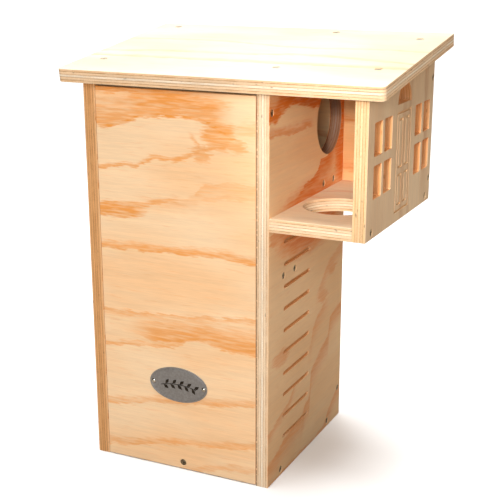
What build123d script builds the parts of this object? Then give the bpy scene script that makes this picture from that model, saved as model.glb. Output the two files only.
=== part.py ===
from build123d import *
from math import atan, cos, sin
import os

# A plywood nest box with a small side porch. Millimetres, +Z up.
# The origin is at the centre of the tower's base. The door faces -Y, the porch is on +X
# and the back, which hangs against the tree, faces +Y.

os.makedirs("parts", exist_ok=True)

# ---- plywood -------------------------------------------------------------------------
board = 15.0  # every panel except the one that closes the porch at the back
thin_board = 9.0  # the panel that closes the porch at the back
edge_ease = 0.7  # sanded edge radius on every panel

# ---- tower -----------------------------------------------------------------------------
tower_width = 230.0  # outside, along X
tower_depth = 230.0  # outside, along Y
front_height = 458.0  # roof underside above the base, at the front face
roof_rise = 31.5  # of the roof, from the front face to the back face

# ---- roof ------------------------------------------------------------------------------
overhang_left = 20.5  # past the tower
overhang_right = 22.0  # past the porch facade
overhang_front = 18.0
roof_back_setback = 2.0  # roof stops this far in front of the back face
roof_corner = 6.0  # the front two corners; the back two are square

# ---- porch -----------------------------------------------------------------------------
porch_clear_height = 137.0  # floor to roof, at the front
porch_hole_diameter = 80.0
porch_hole_side_margin = 7.0  # floor left on each side of the hole
porch_hole_edge_from_front = 45.0

# ---- entrance hole in the right side panel -----------------------------------------------
entrance_diameter = 80.0
entrance_edge_to_back_panel = 1.0
entrance_sill = 41.0  # lowest point of the hole above the porch floor

# ---- climbing grooves on the right side panel ------------------------------------------
groove_length = 77.0
groove_width = 5.0
groove_depth = 3.0
groove_pitch = 26.4
first_groove_height = 47.5
ladder_from_front = 80.5  # middle of the grooves
ladder_top_gap = 13.0  # at least this much plain wood between the last groove and the porch

# ---- inner shelves, one at the front and one at the back ----------------------------------
shelf_depth = 80.0
upper_shelf_above_porch_floor = 7.5  # both heights are to the middle of the shelf
lower_shelf_below_porch_floor = 75.0
shelf_front_gap = 2.0  # behind the closed door
shelf_screw_spacing = 32.0

# ---- front door ------------------------------------------------------------------------
door_side_gap = 0.7
door_top_gap = 7.0  # under the roof, at the front face
door_bottom_gap = 1.0
door_back_gap = 0.5  # to the floor panel
pivot_below_door_top = 18.0
pivot_screw_length = 35.0
pivot_clearance = 0.05  # radial, screw shank in the door's edge
lock_screw_clearance = 0.5  # radial, in the floor panel, so the door can swing
lock_screw_above_middle = 1.5  # of the floor panel
lock_screw_offset = 4.0  # from the door's centre line

# ---- facade cut-outs -------------------------------------------------------------------
facade_front_margin = 19.5
facade_back_margin = 12.5
window_sill_above_floor = 27.0
pane_height = 35.5
pane_bar = 6.5  # between two panes side by side
pane_rail = 9.5  # between the lower and upper panes
pane_corner = 2.0
toy_door_width = 51.0
toy_door_to_window = 15.5
toy_door_above_edge = 11.0
toy_door_height = 112.0
fanlight_above_door = 8.0
line_width = 2.6  # routed lines that draw the door
line_depth = 1.5
panel_margin = 7.5  # from the door's outline to its routed panels
lower_panel_height = 35.5
panel_rail = 6.5

# ---- screws ----------------------------------------------------------------------------
shank_radius = 2.0
head_radius = 3.9
head_height = 2.6
head_sink = 0.7  # below the wood
screw_tip = 3.0
screw_length = 30.0
roof_screw_length = 38.0
screw_clearance = 0.05  # radial, so that wood and steel don't share a surface
head_clearance = 0.35
drive_length = 4.4
drive_width = 1.1
drive_depth = 1.6

# ---- nameplate -------------------------------------------------------------------------
plate_width = 76.0
plate_height = 43.0
plate_thickness = 1.0
plate_centre_height = 108.5
nail_spacing = 66.5
nail_shank_radius = 0.9
nail_head_radius = 2.8
nail_head_height = 1.4
nail_length = 11.0

# ---- hanging holes in the back panel -----------------------------------------------------
hanging_hole_diameter = 7.0
hanging_hole_low = 60.0
hanging_hole_below_roof = 69.5

# ---- screw places, each measured along the panel it holds ----------------------------------
floor_screw_from_front = 37.0
floor_screw_from_back = 44.0
back_screw_low = 40.0
back_screw_below_roof = 46.0
facade_floor_screw_inset = 18.0
facade_end_screw_low = 12.0  # above the porch floor
facade_end_screw_below_roof = 37.0
roof_screw_rows = ((35.5, 19.0), (35.5, 19.0), (49.0, 38.0))  # from the front and the back
porch_floor_screw_inset = 40.0
screw_tip_gap = 8.5  # the porch floor's screws into the end panel stay this far from the facade's

# ---- derived places ----------------------------------------------------------------------
left = -tower_width / 2
right = tower_width / 2
front = -tower_depth / 2
back = tower_depth / 2
inner_left = left + board
inner_right = right - board
inner_back = back - board
slope = roof_rise / tower_depth
pitch = atan(slope)
roof_normal = Vector(0, -sin(pitch), cos(pitch))

porch_width = porch_hole_diameter + 2 * porch_hole_side_margin
facade_inner = right + porch_width
facade_outer = facade_inner + board
facade_middle = facade_inner + board / 2
porch_middle = right + porch_width / 2
porch_floor_top = front_height - porch_clear_height
porch_floor_bottom = porch_floor_top - board
porch_floor_middle = porch_floor_top - board / 2
porch_end_front = back - thin_board
porch_end_middle = back - thin_board / 2

porch_hole_y = front + porch_hole_edge_from_front + porch_hole_diameter / 2
entrance_y = inner_back - entrance_edge_to_back_panel - entrance_diameter / 2
entrance_z = porch_floor_top + entrance_sill + entrance_diameter / 2
upper_shelf_z = porch_floor_top + upper_shelf_above_porch_floor
lower_shelf_z = porch_floor_top - lower_shelf_below_porch_floor
upper_shelf_y = inner_back - shelf_depth / 2
lower_shelf_y = front + board + shelf_front_gap + shelf_depth / 2

door_top = front_height - door_top_gap
pivot_y = front + board / 2
pivot_z = door_top - pivot_below_door_top
lock_z = board / 2 + lock_screw_above_middle


def roof_underside(y):
    return front_height + (y - front) * slope


# ---- helpers -------------------------------------------------------------------------------
def roof_top_plane(x, y):
    # a plane on the roof's upper face, straight above the point (x, y) of the underside
    foot = Vector(x, y, roof_underside(y))
    return Plane(origin=foot + roof_normal * board, x_dir=(1, 0, 0), z_dir=roof_normal)


def face_plane(x, y, z, outward):
    # a plane on a panel's face, whose normal points out of the wood
    return Plane(origin=(x, y, z), z_dir=outward)


def screw(length):
    # countersunk screw along -Z of its plane, with its head just under the surface
    with BuildPart() as body:
        with BuildSketch(Plane.XZ):
            with BuildLine():
                Polyline(
                    (0, -head_sink),
                    (head_radius, -head_sink),
                    (shank_radius, -head_sink - head_height),
                    (shank_radius, screw_tip - length),
                    (0, -length),
                    close=True,
                )
            make_face()
        revolve(axis=Axis.Z)
        with BuildSketch(Plane.XY.offset(-head_sink)):
            Rectangle(drive_length, drive_width)
            Rectangle(drive_width, drive_length)
        extrude(amount=-drive_depth, mode=Mode.SUBTRACT)
    return body.part


def screw_hole(length, clearance):
    # the countersink and bore that such a screw sits in
    bore = shank_radius + clearance
    mouth = head_radius + head_clearance
    with BuildPart() as hole:
        with BuildSketch(Plane.XZ):
            with BuildLine():
                Polyline(
                    (0, 1),
                    (mouth, 1),
                    (mouth, -head_sink),
                    (bore, -head_sink - head_height - head_clearance),
                    (bore, screw_tip - length),
                    (0, -length - clearance * 2),
                    close=True,
                )
            make_face()
        revolve(axis=Axis.Z)
    return hole.part


board_screw = screw(screw_length)
board_hole = screw_hole(screw_length, screw_clearance)
long_screw = screw(roof_screw_length)
long_hole = screw_hole(roof_screw_length, screw_clearance)
pivot_screw = screw(pivot_screw_length)
pivot_hole = screw_hole(pivot_screw_length, pivot_clearance)
lock_hole = screw_hole(screw_length, pivot_clearance)

# ---- where the screws go ---------------------------------------------------------------------
roof_planes = []
roof_screw_columns = (left + board / 2, right - board / 2, facade_middle)
for column, (from_front, from_back) in zip(roof_screw_columns, roof_screw_rows):
    roof_planes.append(roof_top_plane(column, front + from_front))
    roof_planes.append(roof_top_plane(column, back - from_back))

floor_planes = []
back_planes = []
upper_shelf_planes = []
lower_shelf_planes = []
pivot_planes = []
for face, outward in ((left, (-1, 0, 0)), (right, (1, 0, 0))):
    pivot_planes.append(face_plane(face, pivot_y, pivot_z, outward))
    for y in (front + floor_screw_from_front, back - floor_screw_from_back):
        floor_planes.append(face_plane(face, y, board / 2, outward))
    for z in (back_screw_low, roof_underside(back) - back_screw_below_roof):
        back_planes.append(face_plane(face, back - board / 2, z, outward))
    for side in (-1, 1):
        reach = side * shelf_screw_spacing / 2
        upper_shelf_planes.append(face_plane(face, upper_shelf_y + reach, upper_shelf_z, outward))
        lower_shelf_planes.append(face_plane(face, lower_shelf_y + reach, lower_shelf_z, outward))

side_planes = floor_planes + back_planes + upper_shelf_planes + lower_shelf_planes

facade_floor_planes = []
for y in (front + facade_floor_screw_inset, back - facade_floor_screw_inset):
    facade_floor_planes.append(face_plane(facade_outer, y, porch_floor_middle, (1, 0, 0)))

facade_end_planes = []
for z in (porch_floor_top + facade_end_screw_low, roof_underside(back) - facade_end_screw_below_roof):
    facade_end_planes.append(face_plane(facade_outer, porch_end_middle, z, (1, 0, 0)))

porch_floor_planes = []
for y in (front + porch_floor_screw_inset, back - porch_floor_screw_inset):
    porch_floor_planes.append(face_plane(inner_right, y, porch_floor_middle, (-1, 0, 0)))

porch_end_screw_spacing = porch_width - 2 * (screw_length - board + screw_tip_gap)
porch_end_planes = []
for side in (-1, 1):
    x = porch_middle + side * porch_end_screw_spacing / 2
    porch_end_planes.append(face_plane(x, porch_end_middle, porch_floor_bottom, (0, 0, -1)))

lock_plane = face_plane(lock_screw_offset, front, lock_z, (0, -1, 0))


def side_view(y_from, y_to, z_from):
    # corners, in the YZ plane, of a panel whose top edge meets the roof
    return (
        (y_from, z_from),
        (y_to, z_from),
        (y_to, roof_underside(y_to)),
        (y_from, roof_underside(y_from)),
    )


# ---- tower -------------------------------------------------------------------------------------
with BuildPart() as left_side_panel:
    with BuildSketch(Plane.YZ.offset(left)):
        with BuildLine():
            Polyline(*side_view(front, back, 0), close=True)
        make_face()
    extrude(amount=board)
    fillet(left_side_panel.edges(), radius=edge_ease)
    with Locations(*side_planes):
        add(board_hole, mode=Mode.SUBTRACT)
    with Locations(*pivot_planes):
        add(pivot_hole, mode=Mode.SUBTRACT)
    with Locations(*roof_planes):
        add(long_hole, mode=Mode.SUBTRACT)
left_side_panel.part.label = "left_side_panel"
export_step(left_side_panel.part, "parts/left_side_panel.step")

ladder_top = porch_floor_bottom - ladder_top_gap
groove_count = int((ladder_top - first_groove_height) // groove_pitch) + 1
with BuildPart() as right_side_panel:
    with BuildSketch(Plane.YZ.offset(inner_right)):
        with BuildLine():
            Polyline(*side_view(front, back, 0), close=True)
        make_face()
    extrude(amount=board)
    fillet(right_side_panel.edges(), radius=edge_ease)
    with BuildSketch(Plane.YZ.offset(inner_right)):
        with Locations((entrance_y, entrance_z)):
            Circle(entrance_diameter / 2)
    extrude(amount=board, mode=Mode.SUBTRACT)
    with BuildSketch(Plane.YZ.offset(right)):
        for step in range(groove_count):
            with Locations((front + ladder_from_front, first_groove_height + step * groove_pitch)):
                SlotOverall(groove_length, groove_width)
    extrude(amount=-groove_depth, mode=Mode.SUBTRACT)
    with Locations(*side_planes, *porch_floor_planes):
        add(board_hole, mode=Mode.SUBTRACT)
    with Locations(*pivot_planes):
        add(pivot_hole, mode=Mode.SUBTRACT)
    with Locations(*roof_planes):
        add(long_hole, mode=Mode.SUBTRACT)
right_side_panel.part.label = "right_side_panel"
export_step(right_side_panel.part, "parts/right_side_panel.step")

hanging_hole_high = roof_underside(back) - hanging_hole_below_roof
with BuildPart() as back_panel:
    with BuildSketch(Plane.YZ.offset(inner_left)):
        with BuildLine():
            Polyline(*side_view(inner_back, back, 0), close=True)
        make_face()
    extrude(amount=inner_right - inner_left)
    fillet(back_panel.edges(), radius=edge_ease)
    with BuildSketch(Plane.XZ.offset(-back)):
        with Locations((0, hanging_hole_low), (0, hanging_hole_high)):
            Circle(hanging_hole_diameter / 2)
    extrude(amount=board, mode=Mode.SUBTRACT)
    with Locations(*back_planes):
        add(board_hole, mode=Mode.SUBTRACT)
back_panel.part.label = "back_panel"
export_step(back_panel.part, "parts/back_panel.step")

floor_front = front + board + door_back_gap
with BuildPart() as floor_panel:
    with BuildSketch(Plane.XY):
        with Locations((0, (floor_front + inner_back) / 2)):
            Rectangle(inner_right - inner_left, inner_back - floor_front)
    extrude(amount=board)
    fillet(floor_panel.edges(), radius=edge_ease)
    with Locations(*floor_planes):
        add(board_hole, mode=Mode.SUBTRACT)
    with BuildSketch(Plane.XZ.offset(-floor_front)):
        with Locations((lock_screw_offset, lock_z)):
            Circle(shank_radius + lock_screw_clearance)
    extrude(amount=-(screw_length - board + lock_screw_clearance), mode=Mode.SUBTRACT)
floor_panel.part.label = "floor_panel"
export_step(floor_panel.part, "parts/floor_panel.step")

with BuildPart() as upper_shelf:
    with BuildSketch(Plane.XY.offset(upper_shelf_z - board / 2)):
        with Locations((0, upper_shelf_y)):
            Rectangle(inner_right - inner_left, shelf_depth)
    extrude(amount=board)
    fillet(upper_shelf.edges(), radius=edge_ease)
    with Locations(*upper_shelf_planes):
        add(board_hole, mode=Mode.SUBTRACT)
upper_shelf.part.label = "upper_shelf"
export_step(upper_shelf.part, "parts/upper_shelf.step")

with BuildPart() as lower_shelf:
    with BuildSketch(Plane.XY.offset(lower_shelf_z - board / 2)):
        with Locations((0, lower_shelf_y)):
            Rectangle(inner_right - inner_left, shelf_depth)
    extrude(amount=board)
    fillet(lower_shelf.edges(), radius=edge_ease)
    with Locations(*lower_shelf_planes):
        add(board_hole, mode=Mode.SUBTRACT)
lower_shelf.part.label = "lower_shelf"
export_step(lower_shelf.part, "parts/lower_shelf.step")

# ---- roof ----------------------------------------------------------------------------------------
roof_left = left - overhang_left
roof_right = facade_outer + overhang_right
roof_length = (tower_depth + overhang_front - roof_back_setback) / cos(pitch)
roof_front = front - overhang_front
roof_corner_point = (roof_left, roof_front, roof_underside(roof_front))
roof_base = Plane(origin=roof_corner_point, x_dir=(1, 0, 0), z_dir=roof_normal)
with BuildPart() as roof_panel:
    with BuildSketch(roof_base):
        with Locations(((roof_right - roof_left) / 2, roof_length / 2)):
            Rectangle(roof_right - roof_left, roof_length)
    extrude(amount=board)
    through_board = Axis((0, 0, 0), roof_normal)
    fillet(roof_panel.edges().filter_by(through_board).sort_by(Axis.Y)[:2], radius=roof_corner)
    back_corners = roof_panel.edges().filter_by(through_board).sort_by(Axis.Y)[-2:]
    broad_faces = roof_panel.faces().filter_by(through_board)
    fillet(broad_faces.edges() + back_corners, radius=edge_ease)
    with Locations(*roof_planes):
        add(long_hole, mode=Mode.SUBTRACT)
roof_panel.part.label = "roof_panel"
export_step(roof_panel.part, "parts/roof_panel.step")

# ---- porch ---------------------------------------------------------------------------------------
with BuildPart() as porch_floor:
    with BuildSketch(Plane.XY.offset(porch_floor_bottom)):
        with Locations((porch_middle, 0)):
            Rectangle(porch_width, tower_depth)
    extrude(amount=board)
    fillet(porch_floor.edges(), radius=edge_ease)
    with BuildSketch(Plane.XY.offset(porch_floor_bottom)):
        with Locations((porch_middle, porch_hole_y)):
            Circle(porch_hole_diameter / 2)
    extrude(amount=board, mode=Mode.SUBTRACT)
    with Locations(*facade_floor_planes, *porch_floor_planes, *porch_end_planes):
        add(board_hole, mode=Mode.SUBTRACT)
porch_floor.part.label = "porch_floor"
export_step(porch_floor.part, "parts/porch_floor.step")

with BuildPart() as porch_end_panel:
    with BuildSketch(Plane.YZ.offset(right)):
        with BuildLine():
            Polyline(*side_view(porch_end_front, back, porch_floor_top), close=True)
        make_face()
    extrude(amount=porch_width)
    fillet(porch_end_panel.edges(), radius=edge_ease)
    with Locations(*facade_end_planes, *porch_end_planes):
        add(board_hole, mode=Mode.SUBTRACT)
porch_end_panel.part.label = "porch_end_panel"
export_step(porch_end_panel.part, "parts/porch_end_panel.step")

# the facade's pattern runs from one margin to the other, with the routed door in its middle
pattern_start = front + facade_front_margin
pattern_end = back - facade_back_margin
pattern_middle = (pattern_start + pattern_end) / 2
window_width = (pattern_end - pattern_start - toy_door_width) / 2 - toy_door_to_window
pane_width = (window_width - pane_bar) / 2
sill = porch_floor_top + window_sill_above_floor
pane_rows = (sill + pane_height / 2, sill + pane_height * 1.5 + pane_rail)
pane_columns = (
    pattern_start + pane_width / 2,
    pattern_start + window_width - pane_width / 2,
    pattern_end - window_width + pane_width / 2,
    pattern_end - pane_width / 2,
)
toy_door_bottom = porch_floor_bottom + toy_door_above_edge
toy_door_top = toy_door_bottom + toy_door_height
fanlight_bottom = toy_door_top + fanlight_above_door
fanlight_radius = toy_door_width / 2 - line_width / 2
panel_width = (toy_door_width - 3 * panel_margin) / 2
lower_panel_z = toy_door_bottom + panel_margin + lower_panel_height / 2
upper_panel_height = toy_door_height - 2 * panel_margin - lower_panel_height - panel_rail
upper_panel_z = toy_door_top - panel_margin - upper_panel_height / 2
panel_columns = (
    pattern_middle - (panel_width + panel_margin) / 2,
    pattern_middle + (panel_width + panel_margin) / 2,
)
routed_boxes = [(pattern_middle, (toy_door_bottom + toy_door_top) / 2, toy_door_width, toy_door_height)]
for y in panel_columns:
    routed_boxes.append((y, lower_panel_z, panel_width, lower_panel_height))
    routed_boxes.append((y, upper_panel_z, panel_width, upper_panel_height))

with BuildPart() as porch_facade:
    with BuildSketch(Plane.YZ.offset(facade_inner)):
        with BuildLine():
            Polyline(*side_view(front, back, porch_floor_bottom), close=True)
        make_face()
    extrude(amount=board)
    fillet(porch_facade.edges(), radius=edge_ease)
    with BuildSketch(Plane.YZ.offset(facade_inner)):
        for z in pane_rows:
            for y in pane_columns:
                with Locations((y, z)):
                    RectangleRounded(pane_width, pane_height, pane_corner)
        with BuildLine():
            RadiusArc(
                (pattern_middle - fanlight_radius, fanlight_bottom),
                (pattern_middle + fanlight_radius, fanlight_bottom),
                fanlight_radius,
            )
            Line(
                (pattern_middle + fanlight_radius, fanlight_bottom),
                (pattern_middle - fanlight_radius, fanlight_bottom),
            )
        make_face()
    extrude(amount=board, mode=Mode.SUBTRACT)
    with BuildSketch(Plane.YZ.offset(facade_outer)):
        for y, z, width, height in routed_boxes:
            with Locations((y, z)):
                Rectangle(width, height)
                Rectangle(width - 2 * line_width, height - 2 * line_width, mode=Mode.SUBTRACT)
    extrude(amount=-line_depth, mode=Mode.SUBTRACT)
    with Locations(*facade_floor_planes, *facade_end_planes):
        add(board_hole, mode=Mode.SUBTRACT)
    with Locations(*roof_planes):
        add(long_hole, mode=Mode.SUBTRACT)
porch_facade.part.label = "porch_facade"
export_step(porch_facade.part, "parts/porch_facade.step")

# ---- front door, hung on a screw at each side near its top -----------------------------------------
door_width = inner_right - inner_left - 2 * door_side_gap
door_height = door_top - door_bottom_gap
nail_planes = []
plate_front = front - plate_thickness
for side in (-1, 1):
    nail_planes.append(face_plane(side * nail_spacing / 2, plate_front, plate_centre_height, (0, -1, 0)))

with BuildPart() as nail_hole:
    with Locations(Location((0, 0, -nail_length / 2))):
        Cylinder(nail_shank_radius + screw_clearance, nail_length + 2 * screw_clearance)

with BuildPart() as front_door:
    with BuildSketch(Plane.XZ.offset(-front)):
        with Locations((0, door_bottom_gap + door_height / 2)):
            Rectangle(door_width, door_height)
    extrude(amount=-board)
    fillet(front_door.edges(), radius=edge_ease)
    with Locations(*pivot_planes):
        add(pivot_hole, mode=Mode.SUBTRACT)
    with Locations(lock_plane):
        add(lock_hole, mode=Mode.SUBTRACT)
    with Locations(*nail_planes):
        add(nail_hole.part, mode=Mode.SUBTRACT)
front_door.part.label = "front_door"
export_step(front_door.part, "parts/front_door.step")

with BuildPart() as nameplate:
    with BuildSketch(Plane.XZ.offset(-front)):
        with Locations((0, plate_centre_height)):
            Ellipse(plate_width / 2, plate_height / 2)
    extrude(amount=plate_thickness)
    with Locations(*nail_planes):
        add(nail_hole.part, mode=Mode.SUBTRACT)
nameplate.part.label = "nameplate"
export_step(nameplate.part, "parts/nameplate.step")

# a dome-headed nail: the dome is a cap of the sphere that has this width and height
dome_radius = (nail_head_radius**2 + nail_head_height**2) / (2 * nail_head_height)
with BuildPart() as nail:
    with BuildSketch(Plane.XZ):
        with BuildLine():
            Line((0, nail_head_height), (0, -nail_length))
            Line((0, -nail_length), (nail_shank_radius, -nail_length + nail_shank_radius))
            Line((nail_shank_radius, -nail_length + nail_shank_radius), (nail_shank_radius, 0))
            Line((nail_shank_radius, 0), (nail_head_radius, 0))
            RadiusArc((nail_head_radius, 0), (0, nail_head_height), -dome_radius)
        make_face()
    revolve(axis=Axis.Z)

with BuildPart() as nameplate_nails:
    with Locations(*nail_planes):
        add(nail.part)
nameplate_nails.part.label = "nameplate_nails"
export_step(nameplate_nails.part, "parts/nameplate_nails.step")

# ---- screws ----------------------------------------------------------------------------------------
screw_groups = {
    "roof_screws": (long_screw, roof_planes),
    "floor_screws": (board_screw, floor_planes),
    "back_panel_screws": (board_screw, back_planes),
    "upper_shelf_screws": (board_screw, upper_shelf_planes),
    "lower_shelf_screws": (board_screw, lower_shelf_planes),
    "facade_floor_screws": (board_screw, facade_floor_planes),
    "facade_end_screws": (board_screw, facade_end_planes),
    "porch_floor_screws": (board_screw, porch_floor_planes),
    "porch_end_screws": (board_screw, porch_end_planes),
    "door_pivot_screws": (pivot_screw, pivot_planes),
    "lock_screw": (board_screw, [lock_plane]),
}
for group_name, (group_screw, group_planes) in screw_groups.items():
    with BuildPart() as screw_group:
        with Locations(*group_planes):
            add(group_screw)
    screw_group.part.label = group_name
    export_step(screw_group.part, f"parts/{group_name}.step")
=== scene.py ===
# %% [markdown]
# # A plywood nest box with a side porch
# The box is a tall plywood tower for a small climbing animal. A door fills its front, a flat roof
# slopes down towards the door, and a porch with toy windows is built on its right. The shapes and
# sizes are already settled in CAD, so this lesson is about looks: plywood that shows its plies on
# every cut, zinc screws, a satin nameplate, a pale floor and soft light.

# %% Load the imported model
import math

import bmesh
import bpy
from mathutils import Matrix, Vector


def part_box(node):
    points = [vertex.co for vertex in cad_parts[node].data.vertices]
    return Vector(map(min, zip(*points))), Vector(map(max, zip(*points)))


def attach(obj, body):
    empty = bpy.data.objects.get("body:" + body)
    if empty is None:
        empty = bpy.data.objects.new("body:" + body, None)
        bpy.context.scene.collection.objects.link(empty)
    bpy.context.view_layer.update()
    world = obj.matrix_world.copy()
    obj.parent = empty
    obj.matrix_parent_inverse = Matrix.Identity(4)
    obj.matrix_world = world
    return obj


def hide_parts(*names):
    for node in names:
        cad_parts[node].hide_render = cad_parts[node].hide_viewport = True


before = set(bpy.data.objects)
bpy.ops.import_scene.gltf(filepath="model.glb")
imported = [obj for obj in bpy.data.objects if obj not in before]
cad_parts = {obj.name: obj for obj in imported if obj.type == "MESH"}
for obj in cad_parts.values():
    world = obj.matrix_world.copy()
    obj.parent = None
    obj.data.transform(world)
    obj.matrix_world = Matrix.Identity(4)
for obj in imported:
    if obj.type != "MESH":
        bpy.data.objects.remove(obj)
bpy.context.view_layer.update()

# %% [markdown]
# ## Working helpers
# Every finish below is a small network of shader nodes. Building such a network by hand in the
# editor means adding a node, typing its numbers and dragging links. These helpers do those three
# things in one line each, so that the recipe for a finish stays short enough to read.


# %% Paint codes
def colour(code):
    # a paint code such as "F4C592", as the linear colour that shaders use
    parts = [int(code[i : i + 2], 16) / 255 for i in (0, 2, 4)]
    linear = [p / 12.92 if p <= 0.04045 else ((p + 0.055) / 1.055) ** 2.4 for p in parts]
    return (*linear, 1.0)


print("pine, as linear colour:", [round(x, 3) for x in colour("F4C592")])


# %% A new finish, and feeding its sockets
def new_finish(name):
    made = bpy.data.materials.new(name)
    made.use_nodes = True
    return made, made.node_tree, made.node_tree.nodes["Principled BSDF"]


def feed(tree, socket, value):
    # a socket is linked, and a plain number or colour is typed in
    if isinstance(value, bpy.types.NodeSocket):
        tree.links.new(value, socket)
    else:
        socket.default_value = value


# %% Numbers: sums, soft steps and profiles
def maths(tree, operation, a, b=0.0):
    made = tree.nodes.new("ShaderNodeMath")
    made.operation = operation
    feed(tree, made.inputs[0], a)
    feed(tree, made.inputs[1], b)
    return made.outputs[0]


def soft_step(tree, value, low, high, first=0.0, last=1.0):
    # goes from first to last while value goes from low to high
    made = tree.nodes.new("ShaderNodeMapRange")
    made.interpolation_type = "SMOOTHSTEP"
    for socket, number in zip(made.inputs, (value, low, high, first, last)):
        feed(tree, socket, number)
    return made.outputs[0]


def straight_step(tree, value, low, high):
    made = tree.nodes.new("ShaderNodeMapRange")
    for socket, number in zip(made.inputs, (value, low, high, 0.0, 1.0)):
        feed(tree, socket, number)
    return made.outputs[0]


def profile(tree, value, stops):
    # a number that follows the stops, each (place in metres, number), along value
    low, high = stops[0][0], stops[-1][0]
    made = tree.nodes.new("ShaderNodeValToRGB")
    feed(tree, made.inputs[0], straight_step(tree, value, low, high))
    ramp = made.color_ramp
    ramp.interpolation = "CARDINAL"
    for place, number in stops[1:-1]:
        ramp.elements.new((place - low) / (high - low)).color = (number, number, number, 1.0)
    for end, number in ((0, stops[0][1]), (len(stops) - 1, stops[-1][1])):
        ramp.elements[end].color = (number, number, number, 1.0)
    return made.outputs[0]


# %% Colours and textures
def blend_of(tree, share, a, b, mode="MIX"):
    made = tree.nodes.new("ShaderNodeMix")
    made.data_type = "RGBA"
    made.blend_type = mode
    feed(tree, made.inputs[0], share)
    feed(tree, made.inputs[6], a)
    feed(tree, made.inputs[7], b)
    return made.outputs[2]


def noise_of(tree, where, scale, detail=2.0, shift=0.0):
    # noise with so many humps a metre along each direction
    spread = tree.nodes.new("ShaderNodeMapping")
    feed(tree, spread.inputs["Vector"], where)
    spread.inputs["Scale"].default_value = scale
    spread.inputs["Location"].default_value = (shift, shift * 1.7, shift * 0.6)
    made = tree.nodes.new("ShaderNodeTexNoise")
    made.inputs["Scale"].default_value = 1.0
    made.inputs["Detail"].default_value = detail
    feed(tree, made.inputs["Vector"], spread.outputs[0])
    return made.outputs[0]


# %% [markdown]
# ## Where a panel's grain, width and depth run
# Plywood has three directions: along the grain, across it, and through the plies. Each panel of the
# box has its own, and the roof's are tilted. The texture is solid: it is worked out from the place in
# the wood, so a groove, a hole or a sawn edge shows what is really inside the board there.


# %% Directions in a panel
def through_axis(tilt, through):
    axis = Vector([float(letter == through) for letter in "XYZ"])
    return Matrix.Rotation(tilt, 3, "X") @ axis


def reach(node, direction):
    # how far a CAD node reaches along a direction
    along = [direction.dot(v.co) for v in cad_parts[node].data.vertices]
    return min(along), max(along)


def tilt_of(node):
    # the slope of a panel about X, from its largest face
    largest = max(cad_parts[node].data.polygons, key=lambda face: face.area).normal
    upward = largest if largest.z > 0 else -largest
    return math.atan2(-upward.y, upward.z)


def board_places(tree, grain, across, through, tilt):
    # the place in the wood as (along the grain, across it, through the plies)
    place = tree.nodes.new("ShaderNodeTexCoord").outputs["Object"]
    if tilt:
        turn = tree.nodes.new("ShaderNodeMapping")
        turn.inputs["Rotation"].default_value = (-tilt, 0.0, 0.0)
        feed(tree, turn.inputs["Vector"], place)
        place = turn.outputs[0]
    parts = tree.nodes.new("ShaderNodeSeparateXYZ")
    feed(tree, parts.inputs[0], place)
    chosen = [parts.outputs[letter] for letter in (grain, across, through)]
    board = tree.nodes.new("ShaderNodeCombineXYZ")
    for socket, part in zip(board.inputs, chosen):
        feed(tree, socket, part)
    return board.outputs[0], *chosen


roof_tilt = tilt_of("roof_panel")
print("roof slope in degrees:", round(math.degrees(roof_tilt), 2))

# %% [markdown]
# ## The face veneer
# The outer ply is pine peeled from a turning log, so the growth rings are sliced almost flat. They
# show as orange-brown bands that wander along the grain, sharp on one side and fading on the other,
# and as tongues where a ring is cut at its crest. A wave texture looks like corrugated paper here.
# Instead each band follows a line of a few places in the wood, as a maker would sketch it, and fine
# noise along the grain frays its edges into short dashes.


# %% A band of late wood along a line
def band(tree, along, over, line, below, above, strength, fade_in=0.0, fade_out=0.0):
    # line is places (along, over); the band reaches below and above it
    first, last = line[0][0], line[-1][0]
    aside = maths(tree, "SUBTRACT", over, profile(tree, along, line))
    shown = soft_step(tree, aside, -below, below * 0.1)
    shown = maths(tree, "MULTIPLY", shown, soft_step(tree, aside, above * 0.1, above, strength, 0.0))
    if fade_in:
        shown = maths(tree, "MULTIPLY", shown, soft_step(tree, along, first, first + fade_in))
    if fade_out:
        shown = maths(tree, "MULTIPLY", shown, soft_step(tree, along, last - fade_out, last, 1.0, 0.0))
    return shown


# %% A cloud of late wood
def cloud(tree, along, over, middle, half_length, half_height, strength):
    a = maths(tree, "DIVIDE", maths(tree, "SUBTRACT", along, middle[0]), half_length)
    b = maths(tree, "DIVIDE", maths(tree, "SUBTRACT", over, middle[1]), half_height)
    away = maths(tree, "ADD", maths(tree, "MULTIPLY", a, a), maths(tree, "MULTIPLY", b, b))
    return soft_step(tree, away, 0.25, 1.0, strength, 0.0)


# %% The wood's wander
def wander(tree, board, value, amounts, shift):
    # moves a place in the wood by bends, ripples and frays, each by so many metres
    bends = (9.0, 14.0, 2.0)
    ripples = (42.0, 75.0, 2.0)
    frays = (85.0, 520.0, 2.0)
    for scale, amount in zip((bends, ripples, frays), amounts):
        hump = maths(tree, "SUBTRACT", noise_of(tree, board, scale, 2.0, shift), 0.5)
        value = maths(tree, "ADD", value, maths(tree, "MULTIPLY", hump, amount))
    return value


# %% [markdown]
# ## Plywood
# On the real box the broad faces are sanded pine, and every edge shows five plies: a tan veneer, a
# thin darker glue line, a paler cross ply whose fibres are cut through, and a bright core. One way
# is a picture of plywood stuck on each edge. This way mixes the face veneer and the plies by the
# depth in the board, so arrises, hole walls and routed lines are right without any unwrapping.


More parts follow.
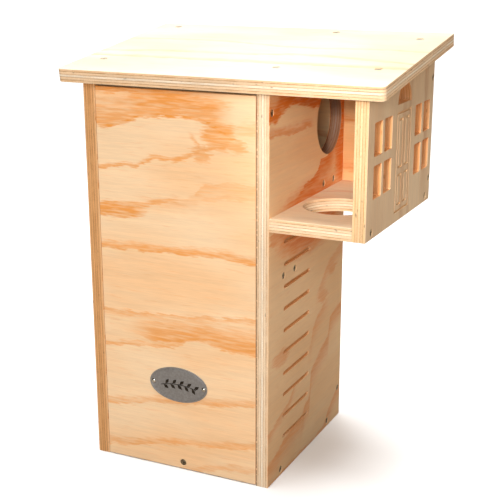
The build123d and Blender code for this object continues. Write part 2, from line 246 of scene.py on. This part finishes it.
# %% The plies on a cut
def plies(tree, board, depth, tones, torn):
    # tones are outer ply, glue line, cross ply and core
    outer, glue, cross, core = tones
    waver = maths(tree, "SUBTRACT", noise_of(tree, board, (14.0, 14.0, 2.0), 3.0), 0.5)
    moved = maths(tree, "ADD", depth, maths(tree, "MULTIPLY", waver, 0.04))
    made = tree.nodes.new("ShaderNodeValToRGB")
    feed(tree, made.inputs[0], moved)
    ramp = made.color_ramp
    layers = [(0.0, outer), (0.16, outer), (0.18, glue), (0.20, glue), (0.22, cross), (0.37, cross)]
    layers += [(0.39, glue), (0.405, glue), (0.43, core), (0.57, core), (0.595, glue), (0.61, glue)]
    layers += [(0.63, cross), (0.78, cross), (0.80, glue), (0.82, glue), (0.84, outer), (1.0, outer)]
    for place, code in layers[1:-1]:
        ramp.elements.new(place).color = colour(code)
    ramp.elements[0].color = colour(outer)
    ramp.elements[len(ramp.elements) - 1].color = colour(outer)
    thin = noise_of(tree, board, (70.0, 70.0, 70.0), 3.0, 5.5)
    faded = blend_of(tree, soft_step(tree, thin, 0.4, 0.7, 0.0, 0.6), made.outputs[0], colour(cross))
    threads = noise_of(tree, board, (26.0, 26.0, 1500.0), 3.0, 3.1)
    dots = noise_of(tree, board, (700.0, 700.0, 900.0), 1.0, 1.3)
    shade = soft_step(tree, threads, 0.3, 0.7, 0.84, 1.05)
    shade = maths(tree, "MULTIPLY", shade, soft_step(tree, dots, 0.3, 0.7, 0.93, 1.04))
    pits = noise_of(tree, board, (110.0, 110.0, 420.0), 1.0, 7.7)
    shade = maths(tree, "MULTIPLY", shade, soft_step(tree, pits, 0.70, 0.78, 1.0, 0.5))
    if torn:
        # splinters pulled out of the inner arris by the saw
        edge = soft_step(tree, depth, 0.07, 0.10, 1.0, 0.0)
        chips = noise_of(tree, board, (260.0, 260.0, 60.0), 2.0, 9.9)
        chips = maths(tree, "MULTIPLY", soft_step(tree, chips, 0.38, 0.46), edge)
        shade = maths(tree, "MULTIPLY", shade, soft_step(tree, chips, 0.0, 1.0, 1.0, 0.28))
    return blend_of(tree, 1.0, faded, shade, "MULTIPLY"), threads


# %% The whole board
sheet_tones = ("EFC79C", "BC8552", "F5D6B2", "FFEBCF")
veneer_starts = (0.455, 0.48)  # from the board's middle, as a share of its thickness


def plywood(
    name,
    node,
    grain,
    across,
    through,
    bands,
    clouds=(),
    tones=("FFD9A8", "F8CB97", "E3954D"),
    cuts=sheet_tones,
    amounts=(0.006, 0.007, 0.010),
    grain_depth=1.0,
    shift=0.0,
    tilt=0.0,
    torn=False,
    painted_cut_light=(),
):
    # this recolours only the cut wood, as painted light: warm bounce light in the ladder grooves and pane
    # sides, dark shade in the entrance hole
    made, tree, shader = new_finish(name)
    board, along, over, inside = board_places(tree, grain, across, through, tilt)
    low, high = reach(node, through_axis(tilt, through))

    moved = wander(tree, board, over, amounts, shift)
    stirred = wander(tree, board, along, (0.010, 0.012, 0.030), shift + 3.0)
    rings = 0.0
    for mark in bands:
        rings = maths(tree, "MAXIMUM", rings, band(tree, along, moved, *mark))
    for mark in clouds:
        rings = maths(tree, "MAXIMUM", rings, cloud(tree, stirred, moved, *mark))

    dashes = noise_of(tree, board, (42.0, 430.0, 2.0), 3.0, shift + 1.0)
    lines = noise_of(tree, board, (10.0, 260.0, 2.0), 3.0, shift + 6.0)
    fibres = noise_of(tree, board, (60.0, 1500.0, 900.0), 2.0, shift + 2.0)
    mist = noise_of(tree, board, (6.0, 16.0, 2.0), 3.0, shift + 4.0)
    frayed = soft_step(tree, dashes, 0.3, 0.62, 1.0 - 0.5 * grain_depth, 1.1)
    rings = maths(tree, "MULTIPLY", rings, frayed)
    early = blend_of(tree, soft_step(tree, mist, 0.35, 0.68), colour(tones[0]), colour(tones[1]))
    fleck = soft_step(tree, dashes, 0.55, 0.78, 0.0, 0.22 * grain_depth)
    early = blend_of(tree, fleck, early, colour(tones[2]))
    face = blend_of(tree, rings, early, colour(tones[2]))
    shade = soft_step(tree, lines, 0.3, 0.7, 1.0 - 0.045 * grain_depth, 1.02)
    fibre_shade = soft_step(tree, fibres, 0.3, 0.7, 1.0 - 0.04 * grain_depth, 1.02)
    shade = maths(tree, "MULTIPLY", shade, fibre_shade)
    face = blend_of(tree, 1.0, face, shade, "MULTIPLY")

    depth = straight_step(tree, inside, low, high)
    cut, threads = plies(tree, board, depth, cuts, torn)
    for mark, painted_tone in painted_cut_light:
        cut = blend_of(tree, cloud(tree, along, over, *mark), cut, colour(painted_tone))
    from_middle = maths(tree, "ABSOLUTE", maths(tree, "SUBTRACT", depth, 0.5))
    is_face = soft_step(tree, from_middle, *veneer_starts)
    feed(tree, shader.inputs["Base Color"], blend_of(tree, is_face, cut, face))
    feed(tree, shader.inputs["Roughness"], soft_step(tree, lines, 0.3, 0.7, 0.5, 0.66))
    shader.inputs["Specular IOR Level"].default_value = 0.35

    relief = maths(tree, "MULTIPLY", fibres, 0.6)
    relief = maths(tree, "ADD", relief, maths(tree, "MULTIPLY", dashes, 0.5))
    relief = maths(tree, "ADD", relief, maths(tree, "MULTIPLY", threads, 0.4))
    bump = tree.nodes.new("ShaderNodeBump")
    bump.inputs["Strength"].default_value = 0.3
    bump.inputs["Distance"].default_value = 0.0002
    feed(tree, bump.inputs["Height"], relief)
    feed(tree, shader.inputs["Normal"], bump.outputs[0])
    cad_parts[node].material_slots[0].material = made
    print(name, "on", node, "with", len(tree.nodes), "nodes")


# %% [markdown]
# ## Figure that needs no drawing
# The panels at the back and inside are plain stock, so their bands could be one repeated pattern.
# That would show as stripes. Each band here gets a sway, a width and a depth from a few sines, and a
# tongue is the same two arms each time, stretched to its place.

# %% Level bands and tongues
sharp_side = 0.003  # how softly a band starts, on the side where the ring is sharp


def level(heights, first, last, strength, shift):
    # bands that run the whole width, from first to last
    steps = 6
    made = []
    for count, height in enumerate(heights):
        turn = 2.1 * count + shift
        line = []
        for step in range(steps + 1):
            sway = 0.008 * math.sin(turn + 0.75 * step) + 0.004 * math.sin(2.3 * turn + 1.9 * step)
            line.append((first + (last - first) * step / steps, height + sway))
        width = 0.007 + 0.009 * abs(math.sin(1.7 * turn))
        made.append((line, sharp_side, width, strength * (0.7 + 0.45 * abs(math.cos(turn)))))
    return made


def tongue(tip, open_end, spread, strength=0.75):
    # two arms that run together at the tip, from the open end on its low side
    shape = ((0.0, 0.85), (0.3, 1.0), (0.55, 0.95), (0.8, 0.62), (0.93, 0.35), (1.0, 0.0))
    tip_fade = 0.008
    arms = []
    for side, width in ((1, 0.014), (-1, 0.005)):
        line = []
        for share, high in shape:
            line.append((open_end + share * (tip[0] - open_end), tip[1] + side * high * spread))
        arms.append((line, sharp_side, width, strength, 0.0, tip_fade))
    return arms


print("a level band has", len(level((0.1,), -0.1, 0.1, 0.5, 0.0)[0][0]), "places")

# %% [markdown]
# ## The front door
# The door is the face that people see, so its figure is drawn band by band. Its grain lies level.
# The wood is orange over its top, then comes a long tongue, open to the left, with a cloud at its
# tip. Level bands follow, of which one widens into a broad orange area on the right, and the lowest
# climb gently to the right. Each band is a line, then how far it reaches below and above the line,
# its strength, and how long it takes to fade in and out.

# %% The tongue at the door's top
tongue_top = (
    (-0.101, 0.408), (-0.078, 0.407), (-0.05, 0.416), (-0.022, 0.422), (0.005, 0.423),
    (0.028, 0.421), (0.05, 0.415), (0.066, 0.407), (0.078, 0.400),
)
tongue_bottom = (
    (-0.100, 0.359), (-0.069, 0.364), (-0.047, 0.363), (-0.024, 0.374), (-0.002, 0.373),
    (0.020, 0.380), (0.033, 0.386), (0.050, 0.392), (0.066, 0.399),
)
over_the_top = ((-0.10, 0.4455), (-0.045, 0.447), (-0.01, 0.443), (0.035, 0.438), (0.066, 0.437))
tip_stroke = ((0.017, 0.404), (0.029, 0.394), (0.038, 0.386))
tongue_bands = (
    (over_the_top, 0.004, 0.03, 0.85, 0.0, 0.06),
    (tongue_top, 0.0025, 0.055, 0.72, 0.0, 0.03),
    (tongue_top, 0.003, 0.007, 0.95, 0.0, 0.01),
    (tongue_bottom, 0.003, 0.006, 0.75, 0.0, 0.015),
    (tip_stroke, 0.004, 0.006, 0.55, 0.008, 0.004),
)
print("the tongue takes", len(tongue_bands), "bands")

# %% The bands below the tongue
high_left = ((-0.099, 0.310), (-0.071, 0.316), (-0.036, 0.320), (-0.011, 0.327), (0.016, 0.329))
high_right = (
    (-0.053, 0.329), (-0.011, 0.328), (0.026, 0.338), (0.039, 0.350), (0.074, 0.353), (0.100, 0.353),
)
high_echo = ((0.020, 0.331), (0.065, 0.338), (0.100, 0.338))
middle_line = (
    (-0.099, 0.266), (-0.055, 0.268), (-0.02, 0.268), (0.032, 0.270), (0.065, 0.270), (0.100, 0.267),
)
pale_line = ((-0.099, 0.189), (-0.064, 0.189), (-0.016, 0.192), (0.025, 0.195), (0.100, 0.203))
broad_line = (
    (-0.099, 0.143), (-0.056, 0.151), (-0.017, 0.152), (0.002, 0.157), (0.018, 0.167),
    (0.057, 0.162), (0.100, 0.163),
)
broad_area = (
    (-0.070, 0.166), (-0.030, 0.160), (0.002, 0.162), (0.030, 0.168), (0.057, 0.163), (0.100, 0.161),
)
plate_line = ((-0.099, 0.068), (-0.039, 0.078), (0.0, 0.085), (0.047, 0.091), (0.100, 0.099))
low_line = ((-0.099, 0.016), (-0.040, 0.025), (0.018, 0.034), (0.056, 0.038), (0.100, 0.047))
corner_line = ((-0.01, -0.002), (0.017, 0.001), (0.055, 0.011), (0.100, 0.016))
lower_bands = (
    (high_left, 0.003, 0.009, 0.75, 0.0, 0.02),
    (high_right, 0.022, 0.003, 0.38, 0.03, 0.0),
    (high_echo, 0.003, 0.006, 0.3, 0.02, 0.0),
    (middle_line, 0.003, 0.012, 0.8),
    (pale_line, 0.009, 0.003, 0.6),
    (broad_line, 0.0025, 0.008, 0.6),
    (broad_area, 0.003, 0.042, 0.8, 0.05, 0.0),
    (plate_line, 0.003, 0.011, 0.58),
    (low_line, 0.003, 0.010, 0.6),
    (corner_line, 0.003, 0.009, 0.42, 0.04, 0.0),
)
print("below it come", len(lower_bands), "bands")

# %% Door finish
door_clouds = (
    ((0.056, 0.406), 0.026, 0.019, 0.8),
    ((0.076, 0.396), 0.014, 0.010, 0.55),
    ((0.034, 0.384), 0.012, 0.012, 0.6),
    ((0.000, 0.438), 0.080, 0.015, 0.85),
    ((0.095, 0.415), 0.03, 0.009, 0.3),
    ((-0.080, 0.312), 0.055, 0.010, 0.85),
)
plywood(
    "door_pine",
    "front_door",
    "X",
    "Z",
    "Y",
    bands=tongue_bands + lower_bands,
    clouds=door_clouds,
    tones=("FFDEB6", "FDD0A0", "F29F49"),
)

# %% [markdown]
# ## The right wall
# The wall that carries the porch is seen in two parts. Below the porch it is in shade, and soft
# brown bands climb steeply to the back; a brown cloud right under the porch floor is painted shade.
# Inside the porch a wave runs up to the entrance hole, and the wood beyond and below it is deep
# orange. The cut wood of the ladder grooves is painted warm orange, as painted bounce light, and
# that of the entrance hole dark brown, as painted shade.

# %% Bands below the porch
climb_top = ((0.020, 0.185), (0.060, 0.215), (0.110, 0.235))
climb_high = ((-0.004, 0.118), (0.012, 0.134), (0.017, 0.150), (0.049, 0.171), (0.078, 0.174))
climb_long = (
    (-0.028, 0.026), (-0.007, 0.056), (0.009, 0.068), (0.013, 0.096), (0.035, 0.108),
    (0.069, 0.124), (0.074, 0.145), (0.110, 0.157),
)
climb_corner = ((0.030, -0.020), (0.060, 0.005), (0.069, 0.013), (0.105, 0.039))
front_high = ((-0.109, 0.066), (-0.075, 0.077), (-0.055, 0.084), (-0.03, 0.105))
front_low = ((-0.104, 0.027), (-0.074, 0.038), (-0.023, 0.047), (-0.002, 0.058))
shaded_bands = (
    (climb_high, 0.030, 0.006, 0.4, 0.03, 0.03),
    (climb_long, 0.034, 0.006, 0.5, 0.02, 0.0),
    (climb_corner, 0.026, 0.005, 0.45),
    (climb_top, 0.022, 0.008, 0.35, 0.02, 0.0),
    (front_high, 0.016, 0.004, 0.4, 0.0, 0.02),
    (front_low, 0.030, 0.004, 0.5, 0.0, 0.02),
)
print("the shaded part has", len(shaded_bands), "bands")

# %% Bands inside the porch
wave = (
    (-0.109, 0.324), (-0.044, 0.327), (-0.016, 0.337), (0.024, 0.348), (0.032, 0.358),
    (0.058, 0.362), (0.085, 0.39),
)
upper_low = ((-0.110, 0.408), (-0.082, 0.407), (-0.046, 0.404), (0.013, 0.402))
upper_high = ((-0.100, 0.424), (-0.083, 0.432), (-0.047, 0.436), (0.012, 0.425))
porch_bands = (
    (wave, 0.05, 0.003, 0.95, 0.08, 0.0),
    (upper_low, 0.003, 0.012, 0.6, 0.0, 0.02),
    (upper_high, 0.005, 0.040, 1.0),
)
print("inside the porch it has", len(porch_bands), "bands")

# %% Right wall finish
wall_clouds_and_porch_shade = (
    ((0.105, 0.40), 0.04, 0.11, 0.95),
    ((-0.096, 0.294), 0.018, 0.010, 0.5),
    # painted shade: this brown cloud right under the porch floor stands in for the porch's shadow on the wall
    ((0.01, 0.298), 0.125, 0.052, 0.85),
    ((-0.081, 0.148), 0.03, 0.012, 0.4),
    ((0.049, 0.186), 0.022, 0.010, 0.4),
    ((0.076, 0.214), 0.022, 0.010, 0.4),
)
# painted bounce light: the cut wood of the ladder grooves is painted warm orange for the light that bounces
# inside them
ladder_painted_bounce = (((-0.0345, 0.16), 0.06, 0.20, 0.8), "EBAF72")
# painted shade: the cut wood of the entrance hole is painted dark brown for the shade inside it
entrance_painted_shade = (((0.059, 0.402), 0.06, 0.06, 0.95), "6E300C")
plywood(
    "right_wall_pine",
    "right_side_panel",
    "Y",
    "Z",
    "X",
    bands=shaded_bands + porch_bands,
    clouds=wall_clouds_and_porch_shade,
    tones=("FDD8AC", "F6CA9A", "E67C2A"),
    cuts=("F3D0AA", "C99767", "F8DEBE", "FFF0DA"),
    amounts=(0.010, 0.008, 0.008),
    grain_depth=0.55,
    shift=5.0,
    torn=True,
    painted_cut_light=(ladder_painted_bounce, entrance_painted_shade),
)

# %% [markdown]
# ## The other panels
# The rest of the box is cut from the same sheets. Each panel gets its own bands and its own shift
# into the noise, because two panels with the same figure look copied. The left wall's edge was cut
# through heavier plies, and it is a darker orange-brown.

# %% Left wall
wall_front, wall_back = -0.115, 0.115
left_bands = level((0.040, 0.102, 0.236, 0.331, 0.452), wall_front, wall_back, 0.65, 0.4)
left_bands += tongue((0.055, 0.392), wall_front, 0.026) + tongue((-0.005, 0.168), wall_front, 0.021, 0.6)
plywood(
    "left_wall_pine",
    "left_side_panel",
    "Y",
    "Z",
    "X",
    bands=left_bands,
    clouds=(((0.047, 0.393), 0.02, 0.014, 0.6), ((-0.01, 0.170), 0.018, 0.011, 0.5)),
    cuts=("E8B27C", "AC7440", "E4AC74", "D9A067"),
    shift=11.0,
)

# %% Back
between_left, between_right = -0.1, 0.1  # the side walls' inner faces
back_bands = level((0.031, 0.088, 0.150, 0.309, 0.377, 0.463), between_left, between_right, 0.65, 2.7)
back_bands += tongue((0.02, 0.230), between_left, 0.030)
plywood(
    "back_pine",
    "back_panel",
    "X",
    "Z",
    "Y",
    bands=back_bands,
    clouds=(((0.01, 0.232), 0.022, 0.015, 0.65), ((0.06, 0.425), 0.045, 0.010, 0.4)),
    shift=17.0,
)

# %% Floor and shelves
for number, node in enumerate(("floor_panel", "lower_shelf", "upper_shelf")):
    plywood(
        node + "_pine",
        node,
        "X",
        "Y",
        "Z",
        bands=level((-0.075, -0.02, 0.06), between_left, between_right, 0.5, 1.9 * number),
        shift=23.0 + 3.0 * number,
    )

# %% [markdown]
# ## Roof
# The roof is the brightest face under the light from above, and its board is also painted paler than
# the other panels, as painted light, with little figure. Its texture is turned with the slope, so that
# the plies on its edges stay level with its faces.

# %% Roof finish
roof_left, roof_right = -0.13, 0.24
plywood(
    "roof_pine",
    "roof_panel",
    "X",
    "Y",
    "Z",
    bands=level((-0.09, -0.02, 0.03, 0.085), roof_left, roof_right, 0.42, 1.1),
    # painted light: these face tones are paler than the other panels' for the roof top that the light from
    # above blows out
    tones=("EFE2CB", "E9D7B8", "D69F5F"),
    cuts=("F0C89C", "B98350", "F5D5B0", "FFEED6"),
    shift=31.0,
    tilt=roof_tilt,
)

# %% [markdown]
# ## Porch
# The porch facade has upright grain and is a shade greyer than the rest. The sides of its panes are
# painted a warm orange, as painted bounce light from inside the porch. The porch's floor is pale, and
# its end panel a deeper orange. Both take much of their colour from light that bounces around inside.

# %% Facade
window_height = 0.388
pane_bounce_patch = (0.085, 0.046, 0.6)  # half its height, half its width and its strength
# painted bounce light: the panes' cut sides, and those of the small opening at the top, are painted warm
# orange for the light that bounces inside the porch
pane_bounce_orange = "F2A45E"
pane_painted_bounce = [(((window_height, y), *pane_bounce_patch), pane_bounce_orange) for y in (-0.066, 0.073)]
pane_painted_bounce.append((((0.452, 0.0035), 0.030, 0.036, 0.4), pane_bounce_orange))
plywood(
    "facade_pine",
    "porch_facade",
    "Z",
    "Y",
    "X",
    bands=(
        (((0.30, -0.070), (0.38, -0.064), (0.48, -0.068)), 0.006, 0.016, 0.35),
        (((0.30, 0.028), (0.39, 0.021), (0.48, 0.026)), 0.006, 0.010, 0.35),
        (((0.30, 0.076), (0.38, 0.084), (0.48, 0.078)), 0.006, 0.020, 0.5, 0.08, 0.0),
    ),
    tones=("F2D5B1", "E7C5A0", "C08450"),
    cuts=("F3CC9C", "BE874E", "E9C294", "F3D0A4"),
    painted_cut_light=pane_painted_bounce,
    shift=37.0,
)

# %% Porch floor and end panel
porch_left, porch_right = 0.115, 0.21
plywood(
    "porch_floor_pine",
    "porch_floor",
    "X",
    "Y",
    "Z",
    bands=level((-0.05, 0.04, 0.095), porch_left, porch_right, 0.45, 3.0),
    tones=("FFEDD2", "FFE3C0", "EDB078"),
    shift=41.0,
)
plywood(
    "porch_end_pine",
    "porch_end_panel",
    "X",
    "Z",
    "Y",
    bands=level((0.345, 0.39, 0.44), porch_left, porch_right, 0.6, 4.2),
    tones=("E6B884", "DEA66E", "CC7530"),
    shift=43.0,
)

# %% [markdown]
# ## Screws and nails
# The screws are zinc-plated countersunk steel with a cross drive, and the nameplate's two nails
# have polished domes. A metal of one even grey looks like plastic, so the plating gets cloudy
# patches that change its colour, and fine scratches that change its roughness. The roof's screws
# are painted paler than the rest, as painted light for the brightly lit roof.


# %% Steel finishes
def steel(name, pale, dark, smooth, rough, nodes=()):
    made, tree, shader = new_finish(name)
    place = tree.nodes.new("ShaderNodeTexCoord").outputs["Object"]
    clouds = noise_of(tree, place, (420.0, 420.0, 420.0), 3.0)
    scratches = noise_of(tree, place, (300.0, 2600.0, 2600.0), 2.0, 2.0)
    mottle = soft_step(tree, clouds, 0.3, 0.7)
    feed(tree, shader.inputs["Base Color"], blend_of(tree, mottle, colour(pale), colour(dark)))
    feed(tree, shader.inputs["Roughness"], soft_step(tree, scratches, 0.25, 0.75, smooth, rough))
    shader.inputs["Metallic"].default_value = 1.0
    bump = tree.nodes.new("ShaderNodeBump")
    bump.inputs["Strength"].default_value = 0.2
    bump.inputs["Distance"].default_value = 0.00005
    feed(tree, bump.inputs["Height"], scratches)
    feed(tree, shader.inputs["Normal"], bump.outputs[0])
    for node in nodes:
        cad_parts[node].material_slots[0].material = made
    print(name, "with", len(tree.nodes), "nodes, on", len(nodes), "CAD nodes")
    return made


screw_nodes = [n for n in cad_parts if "screw" in n and n != "roof_screws"]
steel("zinc_plate", "C6BAA4", "6A5C4A", 0.32, 0.55, screw_nodes)
# painted light: the roof's screws get a paler zinc than the others because the roof is so brightly lit
steel("roof_zinc_painted_light", "EFEDE6", "CFCBC0", 0.3, 0.5, ["roof_screws"])
steel("polished_nail", "DAD8D2", "BDBAB2", 0.08, 0.2, ["nameplate_nails"])

# %% [markdown]
# ## Nameplate
# An oval of satin steel is nailed to the door. Its rim is slightly rounded, and a fine line is cut
# just inside it. It could be a plain ellipse with the line as a texture, but real edges catch the
# light better. It starts as a flat disc, which is pressed to an oval, thickened and given its rim
# with a bevel. The cut line is three insets of the face: up to it, down into it, and out again.

# %% The plate's place
plate_low, plate_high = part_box("nameplate")
plate_middle = (plate_low + plate_high) / 2
plate_depth = plate_high.y - plate_low.y
half_size = ((plate_high.x - plate_low.x) / 2, (plate_high.z - plate_low.z) / 2, 1.0)
print("the plate's middle is at height", round(plate_middle.z, 4))


# %% Helpers for the plate and its twig
def finished(name, bm, finish):
    # a piece that rides on the door, from a finished bmesh, with its place in its mesh
    bmesh.ops.remove_doubles(bm, verts=bm.verts, dist=1e-7)
    bmesh.ops.recalc_face_normals(bm, faces=bm.faces)
    mesh = bpy.data.meshes.new(name)
    bm.to_mesh(mesh)
    bm.free()
    mesh.materials.append(finish)
    piece = bpy.data.objects.new(name, mesh)
    bpy.context.scene.collection.objects.link(piece)
    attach(piece, "door")
    print(name, "has", len(mesh.polygons), "faces")
    return piece


def raise_faces(bm, faces, height):
    # thickens flat faces into a slab, and gives the vertices of its upper side
    top = bmesh.ops.extrude_face_region(bm, geom=faces)
    raised = [v for v in top["geom"] if isinstance(v, bmesh.types.BMVert)]
    bmesh.ops.translate(bm, vec=(0.0, 0.0, height), verts=raised)
    return raised


def stand_on_door(bm, y, z):
    # turns what was made lying flat to face the front, centred on the plate's width
    place = Matrix.Translation((plate_middle.x, y, z)) @ Matrix.Rotation(math.pi / 2, 4, "X")
    bmesh.ops.transform(bm, matrix=place, verts=bm.verts)


# %% Plate shape
rim_round = 0.0003
engraving = ((0.0016, 0.0), (0.0005, -0.0002), (0.0002, 0.0002))  # each inset and how far it moves

bm = bmesh.new()
bmesh.ops.create_circle(bm, cap_ends=True, segments=128, radius=1.0)
bmesh.ops.scale(bm, vec=half_size, verts=bm.verts)
raised = raise_faces(bm, list(bm.faces), plate_depth)
rim = [e for e in bm.edges if all(v in raised for v in e.verts)]
bmesh.ops.bevel(
    bm, geom=rim, offset=rim_round, offset_type="OFFSET", segments=3, profile=0.5, affect="EDGES", material=-1
)
bm.normal_update()
upper_face = max((f for f in bm.faces if f.normal.z > 0.5), key=lambda f: f.calc_area())
for inset, move in engraving:
    bmesh.ops.inset_region(bm, faces=[upper_face], thickness=inset, depth=move, use_even_offset=True)
stand_on_door(bm, plate_high.y, plate_middle.z)
plate = finished("nameplate_plate", bm, steel("satin_plate", "ACAFB5", "9C9DA2", 0.36, 0.5))
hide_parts("nameplate")

# %% [markdown]
# ### The twig on the plate
# The plate's ornament is raised and blackened: its leaves stand 0.2 mm proud and its stem 0.4 mm.
# The stem is one small square, spun about a far centre, which gives a gentle arch. A leaf is a disc
# whose sides are drawn in towards its ends, then stretched to length and thickened. Copies of one
# leaf object would be more pieces to keep track of, so a loop makes each leaf in the same mesh,
# turned and set along the stem in pairs.

# %% Stem
twig_height = 0.0002
stem_radius = 0.085
stem_sweep = 0.56
stem_half = 0.0003  # half its width and half its height
stem_steps = 24
stem_lift = 0.0005  # of the arch's crown over the plate's middle

bm = bmesh.new()
bmesh.ops.create_grid(bm, x_segments=1, y_segments=1, size=stem_half)
upright = Matrix.Translation((0.0, stem_radius, twig_height / 2)) @ Matrix.Rotation(math.pi / 2, 4, "Y")
bmesh.ops.transform(bm, matrix=Matrix.Rotation(stem_sweep / 2, 4, "Z") @ upright, verts=bm.verts)
bmesh.ops.spin(
    bm, geom=list(bm.faces), cent=(0, 0, 0), axis=(0, 0, 1), angle=-stem_sweep, steps=stem_steps
)
to_crown = Matrix.Translation((0.0, -stem_radius, 0.0))
bmesh.ops.transform(bm, matrix=to_crown, verts=bm.verts)
print("the stem has", len(bm.faces), "faces")

# %% Leaves
leaf_pairs = 5
leaf_length = 0.0082
leaf_width = 0.0040
leaf_size = (leaf_length / 2, leaf_width / 2, 1.0)
leaf_point = 1.5  # a larger power keeps the leaf broad for longer before its points
leaf_slant = 0.75
leaf_root = 0.55  # from the stem to the leaf's middle, as a share of its length
leaf_stagger = 0.15  # of a pair's two leaves along the stem, as a share of the pairs' spacing

for count in range(2 * leaf_pairs):
    side = 1 if count % 2 else -1
    share = (count // 2 + 0.5 + leaf_stagger * side) / leaf_pairs
    leaf = bmesh.ops.create_circle(bm, cap_ends=True, segments=20, radius=1.0)["verts"]
    for v in leaf:
        v.co.y *= 1.0 - abs(v.co.x) ** leaf_point
    bmesh.ops.scale(bm, vec=leaf_size, verts=leaf)
    faces = {face for v in leaf for face in v.link_faces}
    top = raise_faces(bm, list(faces), twig_height)
    outward = Matrix.Translation((leaf_length * leaf_root, 0.0, 0.0))
    slanted = Matrix.Rotation(leaf_slant * side, 4, "Z") @ outward
    around = Matrix.Rotation(stem_sweep * (0.5 - share), 4, "Z")
    on_arch = around @ Matrix.Translation((0.0, stem_radius, 0.0))
    bmesh.ops.transform(bm, matrix=to_crown @ on_arch @ slanted, verts=list(leaf) + top)
stand_on_door(bm, plate_low.y, plate_middle.z + stem_lift)
finished("nameplate_twig", bm, steel("blackened_twig", "4A453F", "37322D", 0.4, 0.6))

# %% [markdown]
# ## Floor
# The box stands on a pale studio floor. A white floor throws so much light up that the walls lose
# their shade, and a grey one looks dirty. A Light Path node settles it: the camera sees the floor
# almost white, and the box gets back the warm, weaker light of a darker floor.

# %% Floor
floor_half = 20.0
bm = bmesh.new()
bmesh.ops.create_grid(bm, x_segments=4, y_segments=4, size=floor_half)
floor_mesh = bpy.data.meshes.new("studio_floor")
bm.to_mesh(floor_mesh)
bm.free()

floor_finish, floor_tree, floor_shader = new_finish("studio_floor")
floor_place = floor_tree.nodes.new("ShaderNodeTexCoord").outputs["Object"]
floor_clouds = noise_of(floor_tree, floor_place, (1.5, 1.5, 1.5), 2.0)
floor_seen = blend_of(floor_tree, floor_clouds, colour("F8F8F8"), colour("F5F5F5"))
seen_by = floor_tree.nodes.new("ShaderNodeLightPath").outputs["Is Camera Ray"]
floor_colour = blend_of(floor_tree, seen_by, colour("968B7D"), floor_seen)
feed(floor_tree, floor_shader.inputs["Base Color"], floor_colour)
floor_shader.inputs["Roughness"].default_value = 0.9
floor_mesh.materials.append(floor_finish)

studio_floor = bpy.data.objects.new("studio_floor", floor_mesh)
bpy.context.scene.collection.objects.link(studio_floor)
print("the floor is", 2 * floor_half, "m wide")

# %% [markdown]
# ## Lamps and room
# One large disc lamp in front lights the door, and its size keeps the shadows soft. A weaker one on
# the right models the facade, and one behind rounds off the far sides. The roof is the brightest
# face, so a wide sun shines straight down, which the walls hardly take. The porch is a deep box
# that such lamps leave dark, so a narrow spot in front looks into it. The room itself gives only a
# faint warm light, and the camera sees it white.


# %% Hanging a light
def hang(name, kind, power, at, towards):
    light = bpy.data.lights.new(name, kind)
    light.energy = power
    made = bpy.data.objects.new(name, light)
    made.location = at
    made.rotation_euler = (Vector(towards) - Vector(at)).to_track_quat("-Z", "Y").to_euler()
    bpy.context.scene.collection.objects.link(made)
    print(name, "hangs at", at)
    return light


def disc_lamp(name, power, width, at, towards):
    light = hang(name, "AREA", power, at, towards)
    light.shape = "DISK"
    light.size = width
    return light


# %% Disc lamps
disc_lamp("front_lamp", 15.2, 0.8, (0.42, -1.40, 0.85), (0.05, -0.1, 0.28)).color = (1.0, 0.98, 0.95)
disc_lamp("side_lamp", 2.9, 0.7, (1.3, -0.35, 1.15), (0.12, 0.0, 0.20)).color = (1.0, 0.95, 0.88)
disc_lamp("back_lamp", 6.0, 1.2, (-0.9, 1.3, 0.9), (0.0, 0.0, 0.25))

# %% The spot that looks into the porch
porch_inside = (0.172, 0.0, 0.380)
porch_spot = hang("porch_spot", "SPOT", 43.0, (0.37, -1.30, 0.70), porch_inside)
porch_spot.shadow_soft_size = 0.06
porch_spot.spot_size = math.radians(10.5)
porch_spot.spot_blend = 0.7
porch_spot.color = (1.0, 0.94, 0.86)

# %% The sun over the roof
overhead_panel = hang("overhead_panel", "SUN", 4.0, (0.0, 0.0, 2.0), (0.0, 0.0, 0.0))
overhead_panel.angle = 0.6

# %% The room
world = bpy.data.worlds.new("studio")
bpy.context.scene.world = world
world.use_nodes = True
room_nodes = world.node_tree.nodes
room = room_nodes["Background"]
room.inputs["Color"].default_value = (1.0, 0.93, 0.85, 1.0)
room.inputs["Strength"].default_value = 0.12
seen = room_nodes.new("ShaderNodeBackground")
seen.inputs["Color"].default_value = (1.0, 1.0, 1.0, 1.0)
rays = room_nodes.new("ShaderNodeLightPath")
either = room_nodes.new("ShaderNodeMixShader")
feed(world.node_tree, either.inputs[0], rays.outputs["Is Camera Ray"])
feed(world.node_tree, either.inputs[1], room.outputs[0])
feed(world.node_tree, either.inputs[2], seen.outputs[0])
feed(world.node_tree, room_nodes["World Output"].inputs["Surface"], either.outputs[0])
bpy.context.scene.view_settings.view_transform = "Standard"
print("the room's nodes:", [node.name for node in room_nodes])

# %% [markdown]
# ## Camera
# The camera looks down a little on the front right corner, from about a metre and a half away. The
# lens is a moderately long one, so the upright edges draw together only slightly.

# %% Camera
camera_data = bpy.data.cameras.new("camera")
camera_data.lens = 76.39
camera_data.shift_x = -0.002
camera_data.shift_y = 0.0279
camera = bpy.data.objects.new("camera", camera_data)
camera.location = (0.57102, -1.12152, 0.60056)
looking = Vector((-0.40956, 0.86597, -0.28696))
camera.rotation_euler = looking.to_track_quat("-Z", "Y").to_euler()
bpy.context.scene.collection.objects.link(camera)
bpy.context.scene.camera = camera
print("camera lens:", camera_data.lens, "mm")
